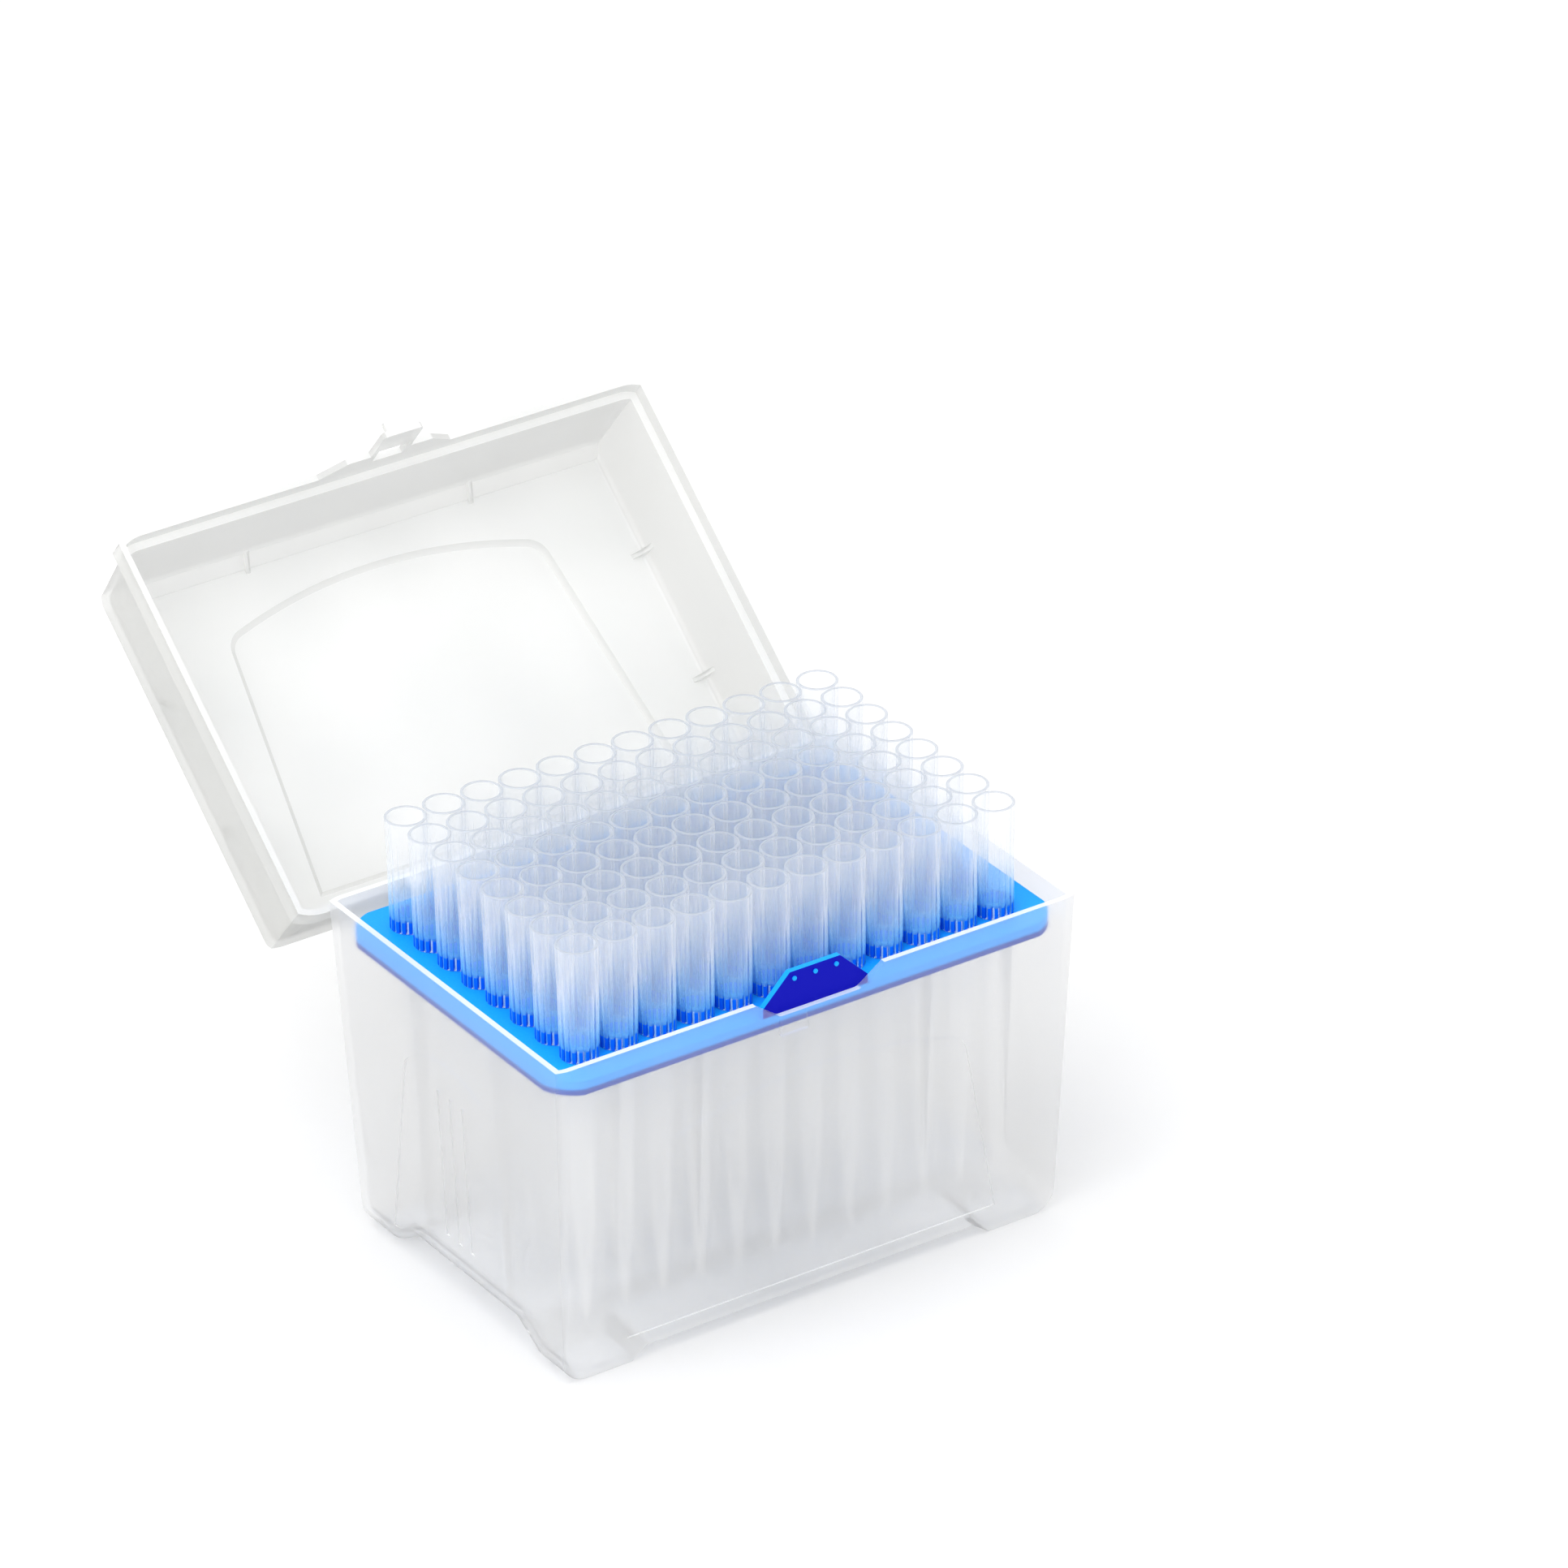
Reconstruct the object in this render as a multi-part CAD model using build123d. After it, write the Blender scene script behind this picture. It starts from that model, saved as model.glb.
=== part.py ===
"""Box of pipette tips: a hinged box, a drilled insert and 96 tips hanging in it.

Frame: X along the long side, Y to the back where the hinge is, Z up. The origin is the middle
of the box's footprint, at the height of the feet's undersides. Everything is in millimetres.

The sizes follow the tips: the pitch and the margins give the box its footprint, and the tip's
length sets the heights of the insert, the rim and the lid.
"""

from build123d import *
import os
from math import radians, tan

os.makedirs("parts", exist_ok=True)

# ------------------------------------------------------------------ tips
TIP_PITCH = 9.0           # centre to centre, both ways
TIP_COLUMNS = 12          # along X
TIP_ROWS = 8              # along Y
TIP_LENGTH = 85.7
TIP_MOUTH_OD = 8.7
TIP_REST_DROP = 25.2      # from the mouth to the shoulder that rests on the insert
TIP_SHOULDER_OD = 8.0
TIP_SHAFT_OD = 6.84       # just under the shoulder
TIP_KINK_DROP = 66.4      # from the mouth to the bend in the taper
TIP_KINK_OD = 4.25
TIP_END_OD = 0.93
TIP_MOUTH_ID = 7.4
TIP_END_ID = 0.44
TIP_SIDES = 8             # tips repeat 96 times, so their rings are octagons, sized across flats
TIP_GROUP = 4             # tips in one node: half a column

# ------------------------------------------------------------------ base
END_MARGIN = 12.25        # outer tip axis to the outside of an end wall, at the rim
SIDE_MARGIN = 11.25       # outer tip axis to the outside of a long wall, at the rim
WALL = 1.3
SIDE_DRAFT = 3.8          # degrees, long walls, narrowing towards the feet
END_DRAFT = 1.95          # the same for the end walls
CORNER_RADIUS = 7.6       # arc at the ends of the long walls
CORNER_REACH = 4.4        # how much of that arc the end walls cut off, along X
FLOOR = 1.5
END_ROUND = 5.5           # rounding under the end walls
SIDE_ARCH = 2.8           # height of the gap between the feet, under the long walls
SIDE_ARCH_HALF = 39.4     # half width of that gap where it is highest
SIDE_RAMP = 3.8           # run of the ramps from there down to the feet
END_ARCH = 4.9            # the same under the end walls
END_ARCH_HALF = 20.0
END_RAMP = 8.0
TIP_END_CLEARANCE = 2.9   # highest floor to the ends of the tips
RIM_ABOVE_INSERT = 4.8
RIB = 1.0
RIB_DEPTH = 3.7           # inwards from the wall's inner face at the rim
RIB_FROM_END = 14.95      # outer long-wall ribs, from the end wall's outside
RIB_MIDDLE_X = 27.3       # inner long-wall ribs, from the middle
RIB_MIDDLE_Y = 15.0       # end-wall ribs, from the middle
PANEL_DEPTH = 0.45        # arched panels sunk in all four walls
PANEL_FOOT_INSET = 17.25  # panel's lower corners, from the wall's ends at the rim
PANEL_HEAD_INSET = 26.15  # panel's shoulders
PANEL_BOTTOM = 6.0
PANEL_SHOULDER_DROP = 25.0  # from the rim
PANEL_APEX_DROP = 18.9    # from the rim
PANEL_ROUND = 5.0
GROOVE_WIDTH = 1.4        # three upright grooves in each end panel
GROOVE_PITCH = 4.6
GROOVE_LENGTH = 34.0
GROOVE_DEPTH = 0.35       # below the panel
NOTCH_HALF = 9.5          # finger notch in the front rim: half width of its floor
NOTCH_HALF_TOP = 15.5
NOTCH_DEPTH = 4.4
NOTCH_ROUND = 1.6

# ---------------------------------------------------------------- insert
INSERT_GAP = 0.25         # to the base's inner walls
INSERT_PLATE = 1.4
INSERT_DEPTH = 3.1        # plate and skirt together
INSERT_SKIRT = 1.2
INSERT_CORNER = 9.0       # plan radius, larger than the base's
HOLE_GAP = 0.18           # tip shaft to hole, each side
TAB_HALF = 6.0            # lifting tab at the front
TAB_HALF_LOW = 12.5
TAB_HEIGHT = 8.6
TAB_SHOULDER = 2.2        # height of the tab's wide foot
TAB_THICK = 1.3
PIP = 1.0                 # diameter of the three pips on the tab
PIP_PITCH = 5.0

# ------------------------------------------------------------------- lid
SEAT_GAP = 0.3            # closed: lid's ledge above the base's rim
LIP_GAP = 0.8             # lid's lip outside the rim
LIP_WALL = 1.3
LIP_DEPTH = 3.3
LID_WALL = 1.3
LID_STEP = 0.35           # lid's wall stands outside the rim by this much
LID_DRAFT = 3.3
LID_HEADROOM = 1.2        # tips to the lid's plate
LID_PLATE = 1.4
LID_BEVEL = 3.0           # along the long top edges
LID_END_ROUND = 1.6       # along the short top edges
LID_PANEL_RISE = 1.0      # arched panel raised in the top
LID_PANEL_SLOPE = 50.0    # degrees from upright, the panel's sloping border
LID_PANEL_APEX = 13.5     # from the lip's front face
LID_PANEL_SHOULDER = 20.0
LID_PANEL_BACK = 79.0
LID_PANEL_HALF = 38.5
LID_PANEL_HALF_BACK = 45.0
GUSSET = 3.5              # small gussets inside, between the top and the walls
GUSSET_THICK = 1.0
FLAP_HALF = 16.0          # the lip runs deeper over the finger notch
FLAP_HALF_LOW = 10.0
FLAP_DEPTH = 4.0

# ----------------------------------------------------------------- latch
LATCH_WIDTH = 9.6
LATCH_LENGTH = 13.0       # beyond the lip's edge
WINDOW_WIDTH = 7.2
WINDOW_TOP = 1.4          # below the lip's edge
WINDOW_HEIGHT = 4.6
THUMB_REACH = 2.0
THUMB_THICK = 1.2
CATCH_GAP = 0.4           # catch to the window's sides, top and bottom
CATCH_SHORT = 0.3         # the catch ends this far short of the strap

# ----------------------------------------------------------------- hinge
HINGE_BACK = 3.75         # axis behind the base's back face at the rim
HINGE_DROP = 6.1          # axis below the rim
HINGE_FROM_END = 27.75    # middle of each hinge, from the end wall's outside
OPEN_ANGLE = 139.6        # lid's swing from closed to its stop
ARM_WIDTH = 8.0
ARM_RADIUS = 2.6
EAR_WIDTH = 3.0
EAR_RADIUS = 3.1
HINGE_SIDE_GAP = 0.3
PIN_RADIUS = 1.5
PIN_GAP = 0.08
HEEL_HALF = 1.2           # half height of the heel that stops the lid
HEEL_GAP = 0.3

# ------------------------------------------------------- what follows from them
TIP_END_Z = max(SIDE_ARCH, END_ARCH) + FLOOR + TIP_END_CLEARANCE
TIP_TOP_Z = TIP_END_Z + TIP_LENGTH
INSERT_Z = TIP_TOP_Z - TIP_REST_DROP            # insert's top face
REST_Z = INSERT_Z - INSERT_DEPTH                # tops of the base's ribs
RIM_Z = INSERT_Z + RIM_ABOVE_INSERT
LEDGE_Z = RIM_Z + SEAT_GAP
LIP_Z = LEDGE_Z - LIP_DEPTH
LID_INSIDE_Z = TIP_TOP_Z + LID_HEADROOM
LID_TOP_Z = LID_INSIDE_Z + LID_PLATE
HALF_X = (TIP_COLUMNS - 1) * TIP_PITCH / 2 + END_MARGIN
HALF_Y = (TIP_ROWS - 1) * TIP_PITCH / 2 + SIDE_MARGIN
HINGE_Y = HALF_Y + HINGE_BACK
HINGE_Z = RIM_Z - HINGE_DROP
HINGE_XS = [side * (HALF_X - HINGE_FROM_END) for side in (-1, 1)]
LIP_Y = HALF_Y + LIP_GAP + LIP_WALL             # outer face of the lip, front and back


def wall_inset(z, draft=SIDE_DRAFT):
    """How far the base's long walls, or end walls by their draft, have come in at height z."""
    return (RIM_Z - z) * tan(radians(draft))


def between(low, high):
    """Slab between two heights, wider than the object."""
    return Pos(0, 0, (low + high) / 2) * Box(4 * HALF_X, 6 * HALF_Y, high - low)


def tub(offset, mouth, end, side_draft=SIDE_DRAFT, end_draft=END_DRAFT, end_round=0.0, side_bevel=0.0):
    """Drafted block between two heights, widest at its mouth.

    Its plan at the mouth is the rim's outline moved out by offset: long sides that turn in on
    an arc, cut off sharply by flat ends. The closed end's short edges can be rounded and its
    long edges bevelled.
    """
    depth = abs(end - mouth)
    x, y = HALF_X + offset, HALF_Y + offset
    outline = RectangleRounded(2 * (x + CORNER_REACH), 2 * y, CORNER_RADIUS + offset)
    up = 1 if end > mouth else -1
    body = extrude(Pos(0, 0, mouth) * outline, amount=depth, dir=(0, 0, up), taper=side_draft)

    def across(half, draft, cut, size):
        run = depth * tan(radians(draft))
        trapezium = Polygon((-half, mouth), (half, mouth), (half - run, end), (run - half, end), align=None)
        closed = trapezium.vertices().sort_by(Axis.Y)[-2:] if up > 0 else trapezium.vertices().sort_by(Axis.Y)[:2]
        return cut(closed, size) if size else trapezium

    body &= extrude(Plane.XZ * across(x, end_draft, fillet, end_round), 2 * HALF_Y, both=True)
    if side_bevel:
        body &= extrude(Plane.YZ * across(y, side_draft, chamfer, side_bevel), 2 * HALF_X, both=True)
    return body


def base_block(share):
    """The base's block on its four feet: its outside (share 0), its cavity (1) or one between.

    Under each wall the gap between the feet is level, with a ramp down to the foot at each end.
    The rounding under the end walls follows the gap and its ramps.
    """
    inwards, up, rounding = share * WALL, share * FLOOR, END_ROUND - share * WALL
    block = tub(-inwards, RIM_Z, up, end_round=rounding)

    size, deep = 2 * rounding, END_ARCH + 1
    corner = Polygon((-size, -deep), (2, -deep), (2, size), (size * tan(radians(END_DRAFT)), size), (0, 0),
                     (-size, 0), align=None)
    corner = fillet(corner.vertices().sort_by_distance((0, 0))[0], rounding)
    path = [(END_ARCH_HALF + END_RAMP, 0), (END_ARCH_HALF, END_ARCH), (-END_ARCH_HALF, END_ARCH),
            (-END_ARCH_HALF - END_RAMP, 0)]
    for (y, z), (next_y, next_z) in zip(path, path[1:]):
        x, next_x = (HALF_X - inwards - wall_inset(height + up, END_DRAFT) for height in (z, next_z))
        along = Vector(next_x - x, next_y - y, next_z - z)
        section = Plane((x, y, z + up), x_dir=(1, 0, 0), z_dir=(0, -1, 0)) * corner
        cutter = extrude(section, along.length, dir=along)
        block -= [cutter, mirror(cutter, Plane.YZ)]

    for wall, half, ramp, height in ((Plane.XZ, SIDE_ARCH_HALF, SIDE_RAMP, SIDE_ARCH),
                                     (Plane.YZ, END_ARCH_HALF, END_RAMP, END_ARCH)):
        foot = half + ramp * (1 + 1 / height)       # the ramps run on to 1 mm below the feet
        gap = Polygon((-foot, -1), (foot, -1), (half, height), (-half, height), align=None)
        block -= extrude(wall * Pos(0, up) * gap, 2 * HALF_X, both=True)
    return block


def arch(foot_half, head_half, bottom, shoulder, apex, rounding):
    """Panel outline: sides leaning in to rounded shoulders, and a shallow arch between them."""
    outline = Polyline((-head_half, shoulder), (-foot_half, bottom), (foot_half, bottom), (head_half, shoulder))
    outline += ThreePointArc((head_half, shoulder), (0, apex), (-head_half, shoulder))
    face = make_face(outline)
    return fillet(face.vertices().sort_by(Axis.Y)[-2:], rounding)


def make_base():
    """Tub with feet, support ribs, sunk arched panels, a finger notch, a catch and hinge ears."""
    # the cavity, less the ribs that carry the insert against the walls
    cavity = base_block(1)
    rib_x, rib_y = HALF_X - WALL - RIB_DEPTH, HALF_Y - WALL - RIB_DEPTH
    for side in (-1, 1):
        for x in (-HALF_X + RIB_FROM_END, -RIB_MIDDLE_X, RIB_MIDDLE_X, HALF_X - RIB_FROM_END):
            cavity -= Pos(x, side * (rib_y + 5), REST_Z / 2) * Box(RIB, 10, REST_Z)
        for y in (-RIB_MIDDLE_Y, RIB_MIDDLE_Y):
            cavity -= Pos(side * (rib_x + 5), y, REST_Z / 2) * Box(10, RIB, REST_Z)
    base = base_block(0) - cavity

    # arched panels, each as deep as its drafted wall at every height
    skin = tub(0.5, RIM_Z, 0) - tub(-PANEL_DEPTH, RIM_Z, 0)
    heights = (PANEL_BOTTOM, RIM_Z - PANEL_SHOULDER_DROP, RIM_Z - PANEL_APEX_DROP, PANEL_ROUND)
    long_arch = arch(HALF_X - PANEL_FOOT_INSET, HALF_X - PANEL_HEAD_INSET, *heights)
    end_arch = arch(HALF_Y - PANEL_FOOT_INSET, HALF_Y - PANEL_HEAD_INSET, *heights)
    base -= skin & extrude(Plane.XZ * long_arch, 2 * HALF_Y, both=True)
    base -= skin & extrude(Plane.YZ * end_arch, 2 * HALF_X, both=True)

    # grooves in the end panels
    deeper = tub(0.5, RIM_Z, 0) - tub(-PANEL_DEPTH - GROOVE_DEPTH, RIM_Z, 0)
    groove_z = (PANEL_BOTTOM + RIM_Z - PANEL_APEX_DROP) / 2
    for y in (-GROOVE_PITCH, 0, GROOVE_PITCH):
        base -= deeper & Pos(0, y, groove_z) * Box(3 * HALF_X, GROOVE_WIDTH, GROOVE_LENGTH)

    # finger notch through the front wall
    notch = Polygon((-NOTCH_HALF, RIM_Z - NOTCH_DEPTH), (NOTCH_HALF, RIM_Z - NOTCH_DEPTH),
                    (NOTCH_HALF_TOP, RIM_Z), (NOTCH_HALF_TOP, RIM_Z + 1),
                    (-NOTCH_HALF_TOP, RIM_Z + 1), (-NOTCH_HALF_TOP, RIM_Z), align=None)
    notch = fillet(notch.vertices().sort_by(Axis.Y)[:4], NOTCH_ROUND)
    base -= Pos(0, -HALF_Y + 3, 0) * extrude(Plane.XZ * notch, 8)

    base += make_catch()
    for x in HINGE_XS:
        base += make_ears(x)
    return base


def make_catch():
    """Wedge on the front wall that sits in the latch's window: ramp above, ledge below."""
    low = LIP_Z - WINDOW_TOP - WINDOW_HEIGHT + CATCH_GAP
    high = LIP_Z - WINDOW_TOP - CATCH_GAP
    root = -HALF_Y + WALL / 2 + wall_inset(low)
    tip = -HALF_Y - LIP_GAP + CATCH_SHORT
    side = Polygon((root, low), (tip, low), (tip, low + 0.5), (-HALF_Y + wall_inset(high), high), (root, high),
                   align=None)
    half = WINDOW_WIDTH / 2 - CATCH_GAP
    return Pos(-half, 0, 0) * extrude(Plane.YZ * side, 2 * half)


def make_ears(x):
    """Two ears on the back wall with a cross hole, one each side of a lid arm."""
    wall = HALF_Y - WALL / 2 - wall_inset(HINGE_Z - 2 * EAR_RADIUS)
    side = Circle(EAR_RADIUS)
    reach = HINGE_Y - wall
    side += Polygon((0, EAR_RADIUS), (-reach, EAR_RADIUS - 1), (-reach, -3 * EAR_RADIUS), (0, -EAR_RADIUS),
                    align=None)
    side -= Circle(PIN_RADIUS + PIN_GAP)
    ears = Part()
    for hand in (-1, 1):
        inner = ARM_WIDTH / 2 + HINGE_SIDE_GAP
        middle = x + hand * (inner + EAR_WIDTH / 2)
        ear = extrude(Plane.YZ * side, EAR_WIDTH / 2, both=True)
        ears += Pos(middle, HINGE_Y, HINGE_Z) * ear
    return ears - tub(-WALL / 2, RIM_Z, 0)


def make_insert():
    """Plate with one hole for each tip, a skirt that rests on the ribs and a lifting tab."""
    gap = WALL + INSERT_GAP

    def block(inwards, low, high):
        plan = RectangleRounded(2 * (HALF_X - inwards), 2 * (HALF_Y - inwards), INSERT_CORNER - inwards + gap)
        return tub(-inwards, RIM_Z, REST_Z) & extrude(Pos(0, 0, low) * plan, high - low)

    insert = block(gap, REST_Z, INSERT_Z) - block(gap + INSERT_SKIRT, REST_Z, INSERT_Z - INSERT_PLATE)

    hole = RegularPolygon(TIP_SHAFT_OD / 2 + HOLE_GAP, TIP_SIDES, major_radius=False, rotation=180 / TIP_SIDES)
    grid = GridLocations(TIP_PITCH, TIP_PITCH, TIP_COLUMNS, TIP_ROWS)
    holes = Sketch() + [spot * hole for spot in grid]
    insert -= extrude(Pos(0, 0, INSERT_Z + 1) * holes, -INSERT_PLATE - 2)

    # lifting tab, seen in the finger notch
    face = -(HALF_Y - WALL - INSERT_GAP - wall_inset(INSERT_Z))
    top = INSERT_Z + TAB_HEIGHT
    tab = Polygon((-TAB_HALF_LOW, INSERT_Z - INSERT_PLATE), (TAB_HALF_LOW, INSERT_Z - INSERT_PLATE),
                  (TAB_HALF_LOW, INSERT_Z + TAB_SHOULDER), (TAB_HALF, top), (-TAB_HALF, top),
                  (-TAB_HALF_LOW, INSERT_Z + TAB_SHOULDER), align=None)
    insert += Pos(0, face + TAB_THICK, 0) * extrude(Plane.XZ * tab, TAB_THICK)
    for x in (-PIP_PITCH, 0, PIP_PITCH):
        insert += Pos(x, face, top - 1.6) * extrude(Plane.XZ * RegularPolygon(PIP / 2, 8), 0.3, both=True)
    return insert


def turning(*stations):
    """Eight-sided turning about Z: the silhouette through (size, height) stations, as a prism,
    crossed with itself turned by one side after another."""
    right = [(size / 2, z) for size, z in stations]
    left = [(-half, z) for half, z in reversed(right)]
    prism = extrude(Plane.XZ * Polygon(*right, *left, align=None), TIP_MOUTH_OD, both=True)
    body = prism
    for side in range(1, TIP_SIDES // 2):
        body &= Rot(0, 0, side * 360 / TIP_SIDES) * prism
    return body


def make_tip():
    """Tip about the Z axis, its mouth at z = 0: collar, resting shoulder, shaft, fine end and bore."""
    tip = turning((TIP_MOUTH_OD, 0), (TIP_SHOULDER_OD, -TIP_REST_DROP), (TIP_SHAFT_OD, -TIP_REST_DROP),
                  (TIP_KINK_OD, -TIP_KINK_DROP), (TIP_END_OD, -TIP_LENGTH))
    return tip - turning((TIP_MOUTH_ID, 0), (TIP_END_ID, -TIP_LENGTH))


def make_lid():
    """Lid as it lies when closed: tub upside down, lip with flap and latch, and hinge arms."""
    lid = tub(LID_STEP, LEDGE_Z, LID_TOP_Z, LID_DRAFT, LID_DRAFT, LID_END_ROUND, LID_BEVEL)
    lid += tub(LIP_GAP + LIP_WALL, LIP_Z, LEDGE_Z + LIP_WALL, 0, 0)
    inside = tub(LID_STEP - LID_WALL, LEDGE_Z, LID_INSIDE_Z, LID_DRAFT, LID_DRAFT, LID_END_ROUND,
                 LID_BEVEL - 0.4 * LID_WALL)
    panel = arch(LID_PANEL_HALF_BACK, LID_PANEL_HALF, LIP_Y - LID_PANEL_BACK, LIP_Y - LID_PANEL_SHOULDER,
                 LIP_Y - LID_PANEL_APEX, PANEL_ROUND)
    panel = Rot(0, 0, 180) * panel
    lid += extrude(Pos(0, 0, LID_TOP_Z) * panel, LID_PANEL_RISE, taper=LID_PANEL_SLOPE)
    inside += extrude(Pos(0, 0, LID_INSIDE_Z) * panel, LID_PANEL_RISE, taper=LID_PANEL_SLOPE)
    lid -= inside
    lid += make_gussets() & inside
    lid -= tub(LIP_GAP, LIP_Z - 1, LEDGE_Z, 0, 0)

    # flap over the finger notch, and the latch below it
    flap = Polygon((-FLAP_HALF, LIP_Z + 1), (-FLAP_HALF, LIP_Z), (-FLAP_HALF_LOW, LIP_Z - FLAP_DEPTH),
                   (FLAP_HALF_LOW, LIP_Z - FLAP_DEPTH), (FLAP_HALF, LIP_Z), (FLAP_HALF, LIP_Z + 1), align=None)
    flap = fillet(flap.vertices().sort_by(Axis.Y)[:2], NOTCH_ROUND)
    strap = Pos(0, LIP_Z - LATCH_LENGTH / 2) * RectangleRounded(LATCH_WIDTH, LATCH_LENGTH, 1.2)
    window_z = LIP_Z - WINDOW_TOP - WINDOW_HEIGHT / 2
    latch = flap + strap - Pos(0, window_z) * Rectangle(WINDOW_WIDTH, WINDOW_HEIGHT)
    lid += Pos(0, LIP_WALL - LIP_Y, 0) * extrude(Plane.XZ * latch, LIP_WALL)
    thumb = Box(LATCH_WIDTH - 2.4, THUMB_REACH + LIP_WALL, THUMB_THICK)
    lid += Pos(0, LIP_WALL - LIP_Y - (THUMB_REACH + LIP_WALL) / 2, LIP_Z - LATCH_LENGTH + THUMB_THICK / 2) * thumb

    for x in HINGE_XS:
        lid += make_arm(x)
    return lid


def make_gussets():
    """Small gussets under the lid's top, in line with the base's middle ribs; they run on into the walls."""
    slope = tan(radians(LID_DRAFT)) * (LID_INSIDE_Z - LEDGE_Z)
    gussets = []
    for half, wall, shift in ((HALF_X, Plane.XZ, (0, RIB_MIDDLE_Y, 0)), (HALF_Y, Plane.YZ, (RIB_MIDDLE_X, 0, 0))):
        face = half + LID_STEP - LID_WALL - slope
        section = Polygon((face - GUSSET, LID_INSIDE_Z), (face + GUSSET, LID_INSIDE_Z),
                          (face + GUSSET, LID_INSIDE_Z - 2 * GUSSET), align=None)
        gusset = Pos(*shift) * extrude(wall * section, GUSSET_THICK / 2, both=True)
        pair = [gusset, mirror(gusset, wall)]
        gussets += pair + [Rot(0, 0, 180) * each for each in pair]
    return Part() + gussets


def make_arm(x):
    """Arm from the lid's back lip to the hinge axis, with a pin to each side and a stop heel."""
    root = LIP_Y - HINGE_Y
    rise = LEDGE_Z - HINGE_Z
    side = Circle(ARM_RADIUS)
    side += Polygon((root - 0.8, rise), (root - 0.8, LIP_Z - HINGE_Z), (-ARM_RADIUS, 0), (ARM_RADIUS, 0),
                    (root + 1.6, rise), align=None)
    arm = extrude(Plane.YZ * side, ARM_WIDTH / 2, both=True)
    pin_length = ARM_WIDTH + 2 * (HINGE_SIDE_GAP + EAR_WIDTH)
    arm += Rot(0, 90, 0) * Cylinder(PIN_RADIUS, pin_length)

    # heel, which meets the base's back wall when the lid is fully open
    reach = HINGE_BACK + wall_inset(HINGE_Z + HEEL_HALF) - HEEL_GAP
    heel = Pos(0, -reach / 2, 0) * Box(ARM_WIDTH, reach, 2 * HEEL_HALF)
    arm += Rot(OPEN_ANGLE, 0, 0) * heel
    return Pos(x, HINGE_Y, HINGE_Z) * arm


def swing(shape, angle):
    """Turn a shape about the hinge axis; a positive angle closes the lid."""
    return Pos(0, HINGE_Y, HINGE_Z) * Rot(angle, 0, 0) * Pos(0, -HINGE_Y, -HINGE_Z) * shape


def main():
    nodes = {"base": make_base(), "insert": make_insert(), "lid": swing(make_lid(), -OPEN_ANGLE)}
    tip = make_tip()
    for column in range(TIP_COLUMNS):
        x = (column - (TIP_COLUMNS - 1) / 2) * TIP_PITCH
        for first in range(0, TIP_ROWS, TIP_GROUP):
            rows = range(first, min(first + TIP_GROUP, TIP_ROWS))
            ys = [(row - (TIP_ROWS - 1) / 2) * TIP_PITCH for row in rows]
            name = f"tips_{column + 1:02d}_{'front' if first == 0 else 'back'}"
            nodes[name] = Compound([Pos(x, y, TIP_TOP_Z) * tip.solid() for y in ys])
    for name, shape in nodes.items():
        export_step(shape, f"parts/{name}.step")
        print(name, len(shape.solids()), "solids")


main()
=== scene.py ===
# %% [markdown]
# # A box of pipette tips in frosted polypropylene
#
# The object is a laboratory box, about 128 mm long over its lid, which stands open. Ninety-six
# clear tips hang through a blue insert. The box, the insert and the lid come ready-made from the CAD
# model, and this lesson gives them their finishes. The tips come from CAD as plain eight-sided
# turnings, and the lesson replaces them with round, ribbed ones.

# %% Load the CAD frame
import math
import bpy
import numpy as np
from mathutils import Matrix, Vector


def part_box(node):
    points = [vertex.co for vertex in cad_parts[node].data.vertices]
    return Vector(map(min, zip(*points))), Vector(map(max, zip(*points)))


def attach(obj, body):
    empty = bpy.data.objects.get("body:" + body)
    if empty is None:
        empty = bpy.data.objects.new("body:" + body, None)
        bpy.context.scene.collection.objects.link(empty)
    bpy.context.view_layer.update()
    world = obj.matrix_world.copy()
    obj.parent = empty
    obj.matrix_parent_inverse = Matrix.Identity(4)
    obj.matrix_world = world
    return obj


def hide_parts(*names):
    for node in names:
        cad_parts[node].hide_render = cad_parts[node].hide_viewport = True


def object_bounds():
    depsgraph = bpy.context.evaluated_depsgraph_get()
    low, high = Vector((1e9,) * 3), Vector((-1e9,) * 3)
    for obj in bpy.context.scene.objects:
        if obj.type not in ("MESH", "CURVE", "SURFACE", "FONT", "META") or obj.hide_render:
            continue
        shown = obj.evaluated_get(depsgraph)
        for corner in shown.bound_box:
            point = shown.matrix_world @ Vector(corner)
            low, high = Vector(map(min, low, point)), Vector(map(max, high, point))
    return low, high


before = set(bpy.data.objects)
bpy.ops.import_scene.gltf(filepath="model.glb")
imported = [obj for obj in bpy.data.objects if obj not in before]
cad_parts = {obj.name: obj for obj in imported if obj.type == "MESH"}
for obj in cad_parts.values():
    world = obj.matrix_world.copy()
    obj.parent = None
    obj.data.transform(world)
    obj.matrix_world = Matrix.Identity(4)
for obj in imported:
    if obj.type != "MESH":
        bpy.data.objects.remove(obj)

MM = 0.001
cad_low, cad_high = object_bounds()
print("CAD box, mm:", [round((b - a) / MM, 1) for a, b in zip(cad_low, cad_high)])

# %% [markdown]
# ## Helpers for materials
#
# Colours are picked on screen as sRGB hex values, but shaders work with linear light, so one
# function converts them. A second function adds any node to a tree, sets its values and links
# its inputs, which keeps each material short enough to read as a recipe. The others name the
# few combinations that come up again and again.

# %% Colour and node helpers
def linear(hex_colour):
    """sRGB to linear light, channel by channel: c / 12.92 where c is small, otherwise
    ((c + 0.055) / 1.055) to the power 2.4."""
    c = np.array([int(hex_colour[i:i + 2], 16) for i in (1, 3, 5)]) / 255
    return (*np.where(c <= 0.04045, c / 12.92, ((c + 0.055) / 1.055) ** 2.4).tolist(), 1.0)


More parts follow.
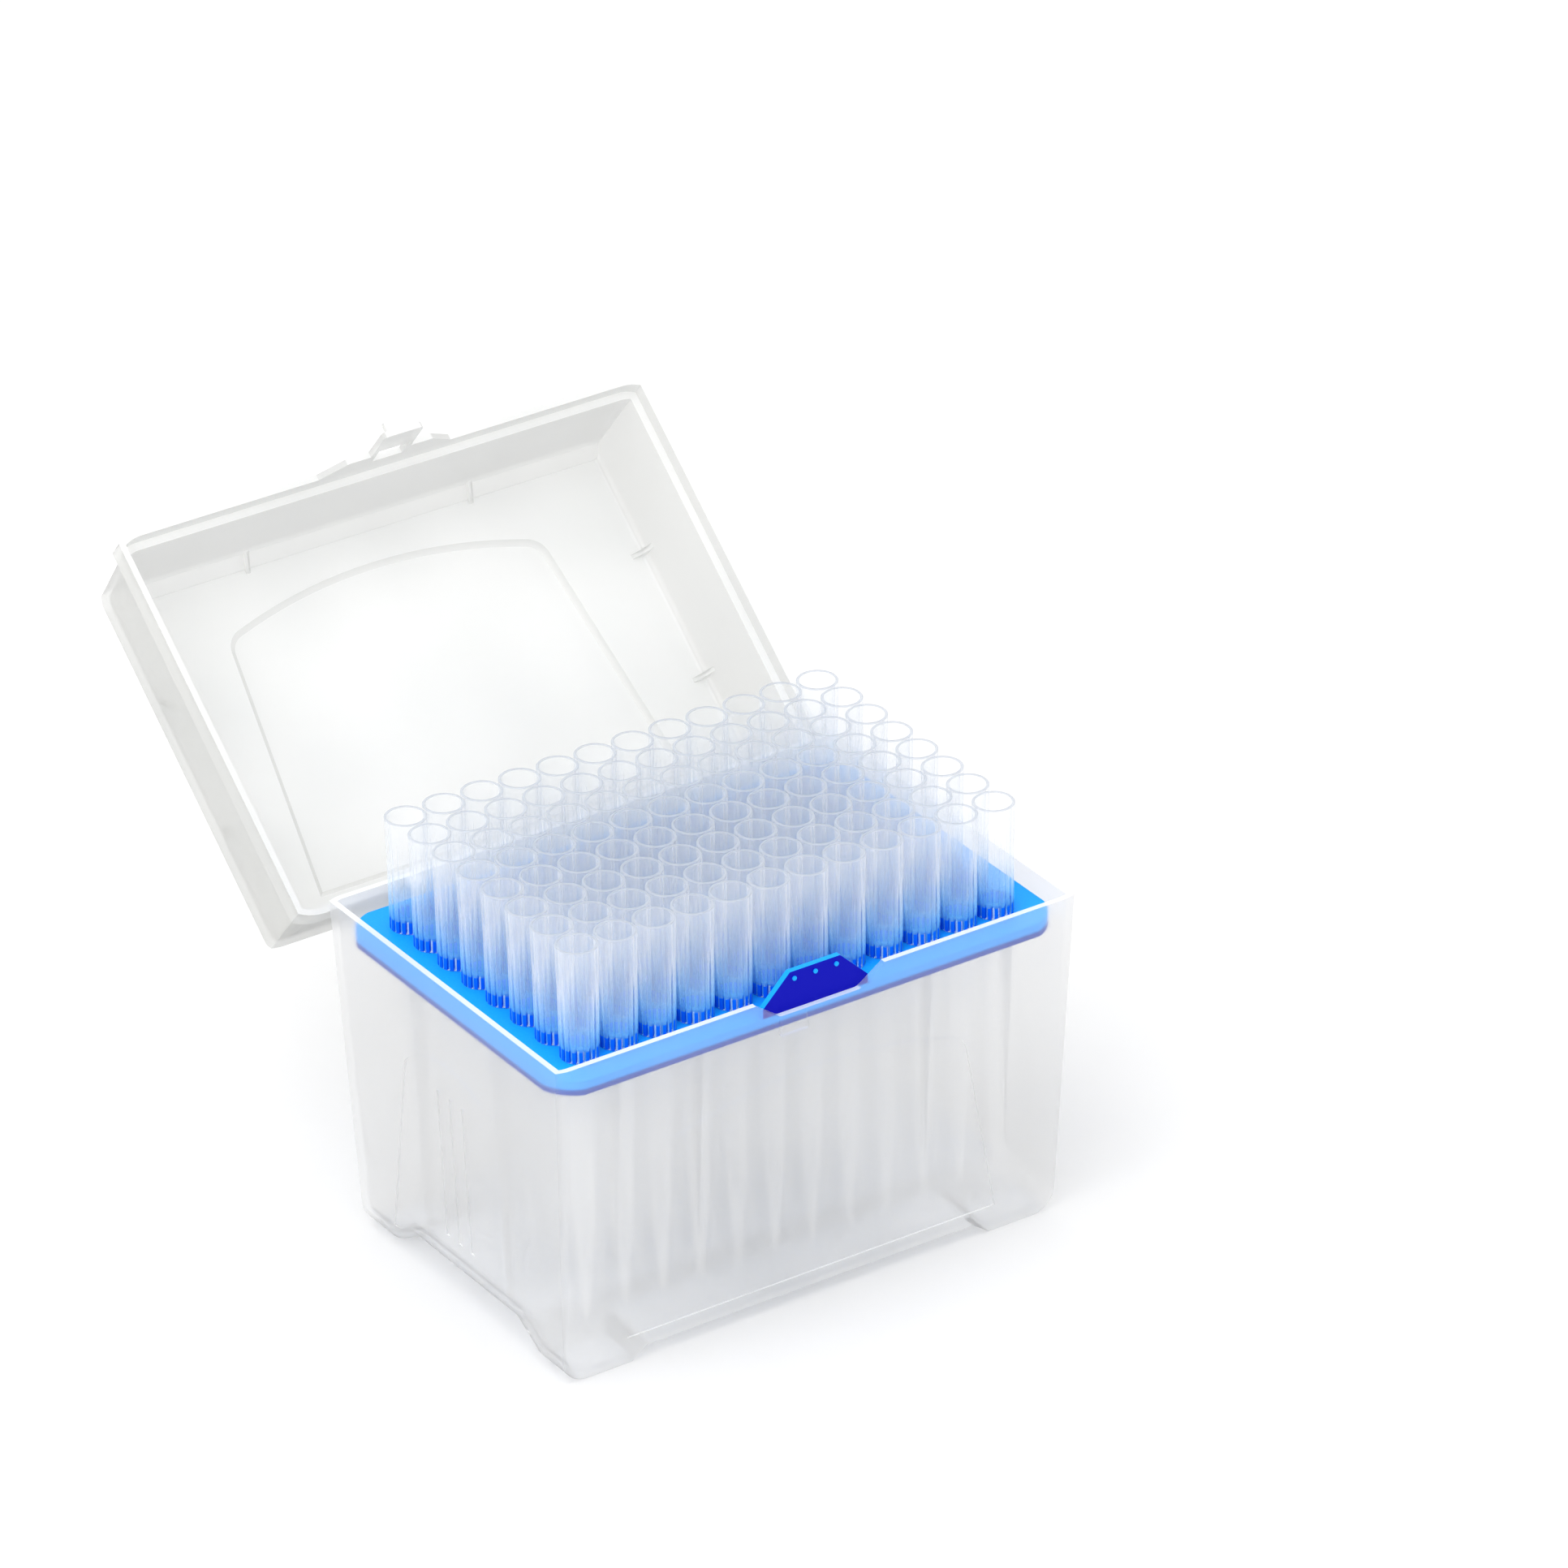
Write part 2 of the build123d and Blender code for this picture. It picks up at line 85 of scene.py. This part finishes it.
def add(tree, kind, links=None, inputs=None, **settings):
    """Add a node; links maps its input names to sockets, inputs maps them to plain values."""
    node = tree.nodes.new(kind)
    for name, value in settings.items():
        setattr(node, name, value)
    for name, value in (inputs or {}).items():
        node.inputs[name].default_value = value
    for name, socket in (links or {}).items():
        tree.links.new(socket, node.inputs[name])
    return node


def new_material(name):
    """An empty node material, and the tree and output to build it on."""
    material = bpy.data.materials.new(name)
    material.use_nodes = True
    material.node_tree.nodes.clear()
    output = add(material.node_tree, "ShaderNodeOutputMaterial")
    return material, material.node_tree, output


def ramp(tree, value, low, high, at_low, at_high, smooth=True):
    """The value, carried from the range low to high into the range at_low to at_high."""
    return add(tree, "ShaderNodeMapRange", links={"Value": value},
               inputs={"From Min": low, "From Max": high, "To Min": at_low, "To Max": at_high},
               interpolation_type="SMOOTHSTEP" if smooth else "LINEAR").outputs["Result"]


def multiply(tree, first, second):
    """Product of two sockets."""
    return add(tree, "ShaderNodeMath", operation="MULTIPLY", links={0: first, 1: second}).outputs[0]


def tint(tree, factor, first, second):
    """Colour that goes from first to second as the factor goes from 0 to 1. First is a hex value
    or a socket, and second is a hex value."""
    node = add(tree, "ShaderNodeMix", data_type="RGBA", links={"Factor": factor})
    if isinstance(first, str):
        node.inputs["A"].default_value = linear(first)
    else:
        tree.links.new(first, node.inputs["A"])
    node.inputs["B"].default_value = linear(second)
    return node.outputs["Result"]


def shares(tree, factor, first, second):
    """Two shaders in one: the second takes the share factor, a number or a socket."""
    node = add(tree, "ShaderNodeMixShader", links={1: first.outputs[0], 2: second.outputs[0]})
    if isinstance(factor, float):
        node.inputs[0].default_value = factor
    else:
        tree.links.new(factor, node.inputs[0])
    return node


def gloss_share(tree, head_on, grazing):
    """How much a surface mirrors: Schlick's formula, which rises from head_on to its grazing value
    with the fifth power of one minus the cosine of the viewing angle, on both sides of a wall."""
    slant = add(tree, "ShaderNodeLayerWeight", inputs={"Blend": 0.5}).outputs["Facing"]
    fifth = add(tree, "ShaderNodeMath", operation="POWER", links={0: slant}, inputs={1: 5.0}).outputs[0]
    return ramp(tree, fifth, 0.0, 1.0, head_on, grazing, smooth=False)


print("white in linear light:", linear("#ffffff")[:3])

# %% [markdown]
# ## The camera
#
# The view is a product photographer's: a long lens from about two metres, 33 degrees to the left
# of the front, looking down at 29 degrees. A long lens keeps the box's edges nearly parallel. The
# camera is set by its three axes, so that its slight roll is exact.

# %% Camera
def aim(azimuth, elevation, roll, target, distance):
    """The matrix of a camera that looks at target: its back axis points from the target to the
    camera, its right axis is level, and roll turns right and up about back."""
    a, e, r = (math.radians(v) for v in (azimuth, elevation, roll))
    back = Vector((math.sin(a) * math.cos(e), -math.cos(a) * math.cos(e), math.sin(e)))
    right = Vector((math.cos(a), math.sin(a), 0))
    up = back.cross(right)
    right, up = math.cos(r) * right + math.sin(r) * up, math.cos(r) * up - math.sin(r) * right
    matrix = Matrix((right, up, back)).transposed().to_4x4()
    matrix.translation = target + back * distance
    return matrix


lens = bpy.data.cameras.new("camera")
lens.lens, lens.sensor_width = 235.4, 36.0
lens.clip_start, lens.clip_end = 0.1, 20.0
camera = bpy.data.objects.new("camera", lens)
bpy.context.collection.objects.link(camera)
camera.matrix_world = aim(-33.28, 28.77, -1.03, Vector((19.37, -1.38, 95.0)) * MM, 2.054)
bpy.context.scene.camera = camera
print("camera at, mm:", [round(v / MM) for v in camera.location])

# %% [markdown]
# ## Floor and light
#
# Frosted plastic shows its form by the light that comes through it, so most of the light is an
# even white surround. One large soft lamp from the upper left makes the left walls brighter than
# the front and gives the floor its soft shadow. The floor lies a hair below the feet, so that no
# two faces share a plane.

# %% Floor, surround and lamp
scene = bpy.context.scene
scene.view_settings.view_transform = "Standard"
# a sight line through the rack crosses dozens of thin films, and each counts as a bounce here
scene.cycles.transparent_max_bounces = 38
scene.cycles.max_bounces = 7
scene.cycles.diffuse_bounces = 5
scene.cycles.glossy_bounces = 4
scene.cycles.transmission_bounces = 7

FLOOR_REACH = 3.0         # metres from the middle to each side
floor_mesh = bpy.data.meshes.new("floor")
floor_corners = [(x * FLOOR_REACH, y * FLOOR_REACH, 0) for x, y in ((-1, -1), (1, -1), (1, 1), (-1, 1))]
floor_mesh.from_pydata(floor_corners, [], [(0, 1, 2, 3)])
floor = bpy.data.objects.new("floor", floor_mesh)
bpy.context.collection.objects.link(floor)
floor.location.z = cad_low[2] - 0.2 * MM
paper, tree, output = new_material("studio_paper")
matte = add(tree, "ShaderNodeBsdfPrincipled", inputs={
    "Base Color": linear("#eaeaea"), "Roughness": 0.9, "Specular IOR Level": 0.1})
tree.links.new(matte.outputs[0], output.inputs["Surface"])
floor_mesh.materials.append(paper)

world = bpy.data.worlds.new("surround")
scene.world = world
world.use_nodes = True
surround = world.node_tree.nodes["Background"].inputs
surround["Color"].default_value = linear("#ffffff")
surround["Strength"].default_value = 1.16

lamp = bpy.data.lights.new("softbox", "AREA")
lamp.shape = "SQUARE"
lamp.size = 1.3           # metres
lamp.energy = 10.5        # watts
softbox = bpy.data.objects.new("softbox", lamp)
bpy.context.collection.objects.link(softbox)
softbox.location = (-0.9, -0.3, 1.35)
towards_box = Vector((0, 0, 50 * MM)) - softbox.location
softbox.rotation_euler = towards_box.to_track_quat("-Z", "Y").to_euler()
print("lamp is", round(softbox.location.length, 2), "m from the box")

# %% [markdown]
# ## Frosted natural polypropylene: the box and the lid
#
# The case is injection-moulded polypropylene with no pigment. It is milky because it
# crystallises as it cools, and matte because the mould is spark-eroded. Four things happen to
# light in such a wall, so four shaders share it: some light passes straight, as much passes
# scattered, some lights the wall's white body, and a little is reflected. A thing just behind
# the wall then looks clearer than one far behind it. Rims are whiter than walls, because the eye
# looks down along the whole wall there, and they are found by the way that they face.

# %% Case material
GRAIN_SIZE = 0.5 * MM
CLOUD_SIZE = 25 * MM
RIM_MILK = 0.7


def frosted(name, dull, bright, milk, mouth):
    """Milky wall whose colour drifts between two hex whites; the brighter one tints what passes.
    Milk is the share of light that the body takes, and it rises to RIM_MILK where the cosine
    between the surface normal and the way that the mouth faces is near one."""
    material, tree, output = new_material(name)
    place = add(tree, "ShaderNodeTexCoord")
    grain = add(tree, "ShaderNodeTexNoise", links={"Vector": place.outputs["Object"]},
                inputs={"Scale": 1 / GRAIN_SIZE, "Detail": 0.0})
    cloud = add(tree, "ShaderNodeTexNoise", links={"Vector": place.outputs["Object"]},
                inputs={"Scale": 1 / CLOUD_SIZE, "Detail": 0.0})
    tone = tint(tree, cloud.outputs["Fac"], dull, bright)
    bump = add(tree, "ShaderNodeBump", links={"Height": grain.outputs["Fac"]},
               inputs={"Strength": 0.25, "Distance": 0.05 * MM})
    straight = add(tree, "ShaderNodeBsdfTransparent", inputs={"Color": linear(bright)})
    scattered = add(tree, "ShaderNodeBsdfRefraction", links={"Normal": bump.outputs["Normal"]},
                    inputs={"Color": linear(bright), "Roughness": 0.7, "IOR": 1.06})
    white = add(tree, "ShaderNodeBsdfDiffuse", links={"Color": tone})
    sheen = add(tree, "ShaderNodeBsdfGlossy", links={"Normal": bump.outputs["Normal"]},
                inputs={"Roughness": 0.4})
    passing = shares(tree, 0.5, scattered, straight)
    along = add(tree, "ShaderNodeVectorMath", operation="DOT_PRODUCT",
                links={0: place.outputs["Normal"]}, inputs={1: mouth}).outputs["Value"]
    milky = ramp(tree, along, 0.8, 0.95, milk, RIM_MILK)
    wall = shares(tree, gloss_share(tree, 0.02, 0.4), shares(tree, milky, passing, white), sheen)
    tree.links.new(wall.outputs[0], output.inputs["Surface"])
    return material


def coat(node, material):
    """Give one CAD node its finish, in place of the plain one that it came with."""
    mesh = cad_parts[node].data
    mesh.materials.clear()
    mesh.materials.append(material)


LID_OPEN = math.radians(139.6)
base_mouth = (0, 0, 1)
lid_mouth = (0, -math.sin(LID_OPEN), -math.cos(LID_OPEN))     # straight down, turned by LID_OPEN
coat("base", frosted("polypropylene_natural_spark_eroded", "#e6e7e8", "#ffffff", 0.085, base_mouth))
coat("lid", frosted("polypropylene_natural_spark_eroded_lid", "#e3e4e3", "#f4f4f3", 0.25, lid_mouth))
print("case pieces: base, lid")

# %% [markdown]
# ## Blue polypropylene: the insert
#
# The insert is the same plastic with a strong azure pigment, moulded satin. It is opaque, with a
# fine grain that breaks up its highlights. Two parts of it get a deeper tone as painted shade:
# the skirt that hangs below the plate, where little light comes, and the front face of the lifting
# tab, which gets little light. The skirt is found by height, and the tab's face by height and by
# the way that it faces, so the pips on the tab stay azure.

# %% Insert material
TAB_HEIGHT = 8.6 * MM      # from the plate to the top of the tab
PIP_HEIGHT = 0.3 * MM      # how far the pips stand out of the tab
SKIRT_DROP = 1.4 * MM      # where the deeper tone starts, below the plate
INSERT_GRAIN_SIZE = 0.4 * MM

azure, tree, output = new_material("polypropylene_azure_moulded_satin")
insert_low, insert_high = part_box("insert")
plate_top = insert_high[2] - TAB_HEIGHT
tab_front = insert_low[1] + PIP_HEIGHT
place = add(tree, "ShaderNodeTexCoord")
where = add(tree, "ShaderNodeSeparateXYZ", links={0: place.outputs["Object"]}).outputs
faces = add(tree, "ShaderNodeSeparateXYZ", links={0: place.outputs["Normal"]}).outputs
grain = add(tree, "ShaderNodeTexNoise", links={"Vector": place.outputs["Object"]},
            inputs={"Scale": 1 / INSERT_GRAIN_SIZE, "Detail": 2.0})
# painted shade on the tab's front face, which looks forwards, lies in one plane behind the pips, and is
# above the plate
forwards = ramp(tree, faces["Y"], -0.8, -0.7, 1.0, 0.0)
past_pips = ramp(tree, where["Y"], tab_front - 0.1 * MM, tab_front - 0.05 * MM, 0.0, 1.0)
in_plane = ramp(tree, where["Y"], tab_front + 0.1 * MM, tab_front + 0.2 * MM, 1.0, 0.0)
over_plate = ramp(tree, where["Z"], plate_top, plate_top + 0.2 * MM, 0.0, 1.0)
tab_face_painted_shade = multiply(tree, multiply(tree, forwards, past_pips), multiply(tree, over_plate, in_plane))
# painted shade on the skirt: deep blue from 0.8 mm below SKIRT_DROP downwards
skirt_painted_shade = ramp(tree, where["Z"], plate_top - SKIRT_DROP - 0.8 * MM, plate_top - SKIRT_DROP, 1.0, 0.0)
tone = tint(tree, grain.outputs["Fac"], "#109cfc", "#20aaff")
tone = tint(tree, skirt_painted_shade, tone, "#0040b0")
# the tab face's painted shade, in deep navy blue
tone = tint(tree, tab_face_painted_shade, tone, "#0004ac")
bump = add(tree, "ShaderNodeBump", links={"Height": grain.outputs["Fac"]},
           inputs={"Strength": 0.15, "Distance": 0.04 * MM})
pigmented = add(tree, "ShaderNodeBsdfPrincipled",
                links={"Base Color": tone, "Normal": bump.outputs["Normal"]},
                inputs={"Roughness": 0.45, "IOR": 1.49, "Specular IOR Level": 0.1})
tree.links.new(pigmented.outputs[0], output.inputs["Surface"])
coat("insert", azure)
print("insert pieces: insert, plate top at", round(plate_top / MM, 1), "mm")

# %% [markdown]
# ## Clear polypropylene: the tips
#
# Tips are moulded in a polished mould, so their skin is glossy and what is behind them shows
# sharp. Each wall is so thin that it hardly bends the light, so the finish is a clear film whose
# haze grows towards its edges, where the eye looks along the wall. The blue light that the ribs
# carry up from the plate is painted into their colour, and so are deep blue bars of painted
# refraction and shade at the foot of the ribs, a thin grey ring of painted shade on the mouth's
# edge and painted shade along the collar's outline. The UV map of the next step says where a
# point is: across it counts ribs, and upwards it is the height above the plate in millimetres.

# %% Tip material
# painted light: how high the plate's blue is painted up the tips
PAINTED_BLUE_HEIGHT = 15.0        # mm; the plate's blue fades to a trace over this height
VEIL_HEIGHT = 12.0         # mm; the extra haze near the plate fades out over this height
# the deep blue bars are painted refraction and shade of the plate, not a colour of the ribs
BAR_HEIGHT = 3.0           # mm; the ribs end in deep blue bars as high as this
COLLAR_FOOT = 16.0         # mm; the smooth collar starts here
MOUTH = 25.0               # mm; everything above this is the square edge of the mouth

clear, tree, output = new_material("polypropylene_clear_polished_mould")
unrolled = add(tree, "ShaderNodeUVMap", uv_map="unrolled")
across_and_up = add(tree, "ShaderNodeSeparateXYZ", links={0: unrolled.outputs[0]}).outputs
height = across_and_up["Y"]
rib_phase = add(tree, "ShaderNodeMath", operation="FRACT", links={0: across_and_up["X"]}).outputs[0]
facing = add(tree, "ShaderNodeLayerWeight", inputs={"Blend": 0.35})
edge = add(tree, "ShaderNodeMath", operation="POWER", links={0: facing.outputs["Facing"]},
           inputs={1: 2.0}).outputs[0]

above = ramp(tree, height, -0.1, 0.0, 0.0, 1.0)
painted_plate_blue = multiply(tree, above, ramp(tree, height, 0.0, PAINTED_BLUE_HEIGHT, 1.0, 0.03))
# painted refraction and shade: deep blue bars where the ribs meet the plate
# a rib's phase runs from 0.15 to 0.85, so a bar takes the rib's second half and the step after it
bar_across = multiply(tree, ramp(tree, rib_phase, 0.30, 0.36, 0.0, 1.0),
                      ramp(tree, rib_phase, 0.94, 1.0, 1.0, 0.0))
bar_up = multiply(tree, ramp(tree, height, BAR_HEIGHT - 0.4, BAR_HEIGHT, 1.0, 0.0),
                  ramp(tree, height, 0.1, 0.2, 0.0, 1.0))
painted_refraction_bars = multiply(tree, bar_across, bar_up)
# painted shade: the square edge of the mouth is drawn as a thin grey ring
mouth_painted_shade = ramp(tree, height, MOUTH - 0.1, MOUTH + 0.1, 0.0, 1.0)
# painted light: the plate's blue, strongest at the plate and fading up the tip
tone = tint(tree, painted_plate_blue, "#ffffff", "#5cc8ff")
tone = tint(tree, painted_refraction_bars, tone, "#0c6cec")
tone = tint(tree, mouth_painted_shade, tone, "#b8bec8")

haze = ramp(tree, edge, 0.0, 1.0, 0.07, 0.5, smooth=False)
veil = multiply(tree, above, ramp(tree, height, 0.0, VEIL_HEIGHT, 0.35, 0.0))
film_opacity = add(tree, "ShaderNodeMath", operation="ADD", use_clamp=True,
                   links={0: haze, 1: veil}).outputs[0]
mark_opacity = add(tree, "ShaderNodeMath", operation="MAXIMUM",
                   links={0: painted_refraction_bars, 1: ramp(tree, mouth_painted_shade, 0.0, 1.0, 0.0, 0.6, smooth=False)}).outputs[0]
opacity = add(tree, "ShaderNodeMath", operation="MAXIMUM",
              links={0: film_opacity, 1: mark_opacity}).outputs[0]
# painted shade: the smooth collar's edges take a little of what passes, which draws the tube's outline
collar_painted_shade = multiply(tree, ramp(tree, height, COLLAR_FOOT, COLLAR_FOOT + 0.2, 0.0, 1.0), edge)
passed = tint(tree, collar_painted_shade, "#ffffff", "#f3f5f8")

through = add(tree, "ShaderNodeBsdfTransparent", links={"Color": passed})
lit = add(tree, "ShaderNodeBsdfDiffuse", links={"Color": tone})
polish = add(tree, "ShaderNodeBsdfGlossy", inputs={"Roughness": 0.12})
film = shares(tree, gloss_share(tree, 0.01, 0.25), shares(tree, opacity, through, lit), polish)
tree.links.new(film.outputs[0], output.inputs["Surface"])
print("tip finish:", clear.name, "with", len(tree.nodes), "nodes")

# %% [markdown]
# ## The tip: one profile carried round an axis
#
# A tip is a turning with 18 ribs under its smooth collar. Its closed profile runs up the bore,
# over the mouth, down the outside and round the fine end. Each station has two radii, one on a
# rib and one in the groove beside it, and they differ only between the collar and the shoulder.

# %% Tip surface
RIBS = 18
REST_DROP = 25.2          # from the mouth to the shoulder that rests on the insert
# stations: depth below the mouth, radius on a rib, radius in a groove, all in mm
PROFILE = np.array([
    (85.70, 0.22, 0.22), (66.40, 1.62, 1.62), (25.20, 2.90, 2.90), (14.00, 3.20, 3.20),
    (9.10, 3.52, 3.52), (0.35, 3.70, 3.70), (0.00, 3.85, 3.85), (0.00, 4.22, 4.22),
    (0.14, 4.35, 4.35), (8.95, 4.16, 4.16), (9.10, 4.10, 4.05), (9.25, 4.10, 3.74),
    (22.10, 4.02, 3.68), (22.40, 4.01, 3.46), (25.05, 4.00, 3.44), (25.20, 3.94, 3.43),
    (25.20, 3.43, 3.42), (66.40, 2.125, 2.125), (85.60, 0.49, 0.49), (85.70, 0.44, 0.44)])
# one rib's samples, in degrees from its middle, and whether each lies in the groove
SAMPLES = np.array([(-7.0, 0), (0.0, 0), (7.0, 0), (8.0, 1), (12.0, 1)])


def ribbed_turning(profile, samples, ribs):
    """Grid of points: for station (d, rib, groove) and angle t, the point is
    (r cos t, r sin t, -d), where r is the groove radius in a groove and the rib radius
    elsewhere. Both directions of the grid close on themselves."""
    turn = np.radians(samples[None, :, 0] + np.arange(ribs)[:, None] * 360 / ribs).ravel()
    groove = np.tile(samples[:, 1], ribs)
    radius = profile[:, 1, None] * (1 - groove) + profile[:, 2, None] * groove
    depth = np.broadcast_to(-profile[:, 0, None], radius.shape)
    points = np.stack([radius * np.cos(turn), radius * np.sin(turn), depth], axis=-1) * MM
    rows, columns = radius.shape
    i, j = np.meshgrid(np.arange(rows), np.arange(columns), indexing="ij")
    down, on = (i + 1) % rows, (j + 1) % columns
    quads = np.stack([i * columns + j, down * columns + j, down * columns + on, i * columns + on], axis=-1)
    u = np.append(turn, turn[0] + 2 * np.pi) * ribs / (2 * np.pi) + 0.5
    height = REST_DROP - profile[:, 0]
    corner_columns = np.stack([j, j, j + 1, j + 1], axis=-1)
    corner_rows = np.stack([i, down, down, i], axis=-1)
    unrolled = np.stack([u[corner_columns], height[corner_rows]], axis=-1)
    return points.reshape(-1, 3), quads.reshape(-1, 4), unrolled.reshape(-1, 2)


tip_points, tip_quads, tip_unrolled = ribbed_turning(PROFILE, SAMPLES, RIBS)
print("one tip:", len(tip_points), "points,", len(tip_quads), "quads")

# %% [markdown]
# ## Ninety-six tips
#
# The CAD groups tell where each tip hangs: a group's box gives its column, its first and last
# row, and the height of the mouths. Copies of one tip are moved there as whole arrays and
# joined, so that each CAD group has one ribbed group in its place.

# %% Place the tips
PER_GROUP = 4
CREASE = math.radians(28)  # edges that turn by more than this stay sharp


def tips_like(node):
    """The ribbed tips that stand for one CAD group: the same points, shifted to each axis."""
    low, high = (np.array(corner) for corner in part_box(node))
    half = (high[0] - low[0]) / 2
    rows = np.linspace(low[1] + half, high[1] - half, PER_GROUP)
    axes = np.stack([np.full(PER_GROUP, low[0] + half), rows, np.full(PER_GROUP, high[2])], axis=-1)
    points = (tip_points[None] + axes[:, None]).reshape(-1, 3)
    quads = (tip_quads[None] + np.arange(PER_GROUP)[:, None, None] * len(tip_points)).reshape(-1, 4)
    mesh = bpy.data.meshes.new("ribbed_" + node)
    mesh.from_pydata(points, [], quads.tolist())
    unrolled = mesh.uv_layers.new(name="unrolled")
    unrolled.data.foreach_set("uv", np.tile(tip_unrolled, (PER_GROUP, 1)).ravel())
    mesh.shade_smooth()
    mesh.set_sharp_from_angle(angle=CREASE)
    mesh.materials.append(clear)
    piece = bpy.data.objects.new("ribbed_" + node, mesh)
    bpy.context.collection.objects.link(piece)
    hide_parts(node)
    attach(piece, "box")
    return piece


groups = [tips_like(name) for name in sorted(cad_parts) if name.startswith("tips_")]
print(len(groups), "groups,", sum(len(g.data.polygons) for g in groups), "quads in all")
